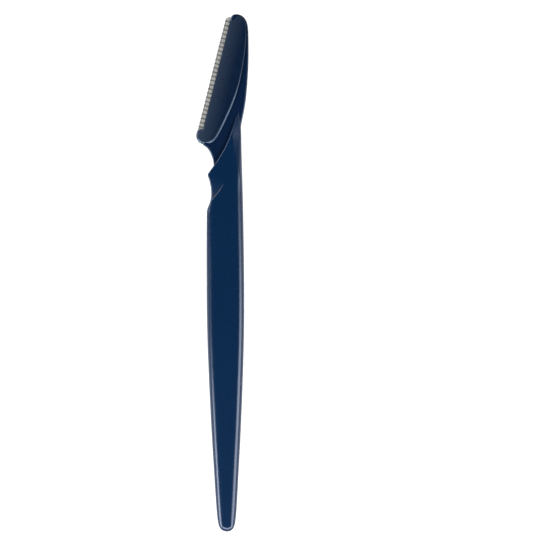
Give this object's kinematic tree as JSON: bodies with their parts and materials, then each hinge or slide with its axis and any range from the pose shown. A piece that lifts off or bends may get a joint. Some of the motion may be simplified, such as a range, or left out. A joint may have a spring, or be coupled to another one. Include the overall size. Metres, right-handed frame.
{
  "type": "eyebrow razor",
  "caption": "Slim one-piece handle with a leaf-shaped head that clamps a straight steel blade behind a fine comb guard, for trimming eyebrows.",
  "frame": {"origin": "middle of the razor's box in X and Y, on the flat back of the handle that it rests on", "axes": "+X across the handle, away from the cutting edge; +Y along the handle from its tip to the head; +Z out of the front face"},
  "size_m": [0.015, 0.15, 0.0046],
  "materials": {
    "handle_plastic": "satin",
    "cover_plastic": "satin",
    "blade_steel": "brushed",
    "guard_steel": "satin"
  },
  "bodies": {
    "root": {"handle": "handle_plastic", "front_cover": "cover_plastic", "rear_cover": "cover_plastic", "blade": "blade_steel", "micro_guard": "guard_steel"}
  },
  "joints": []
}
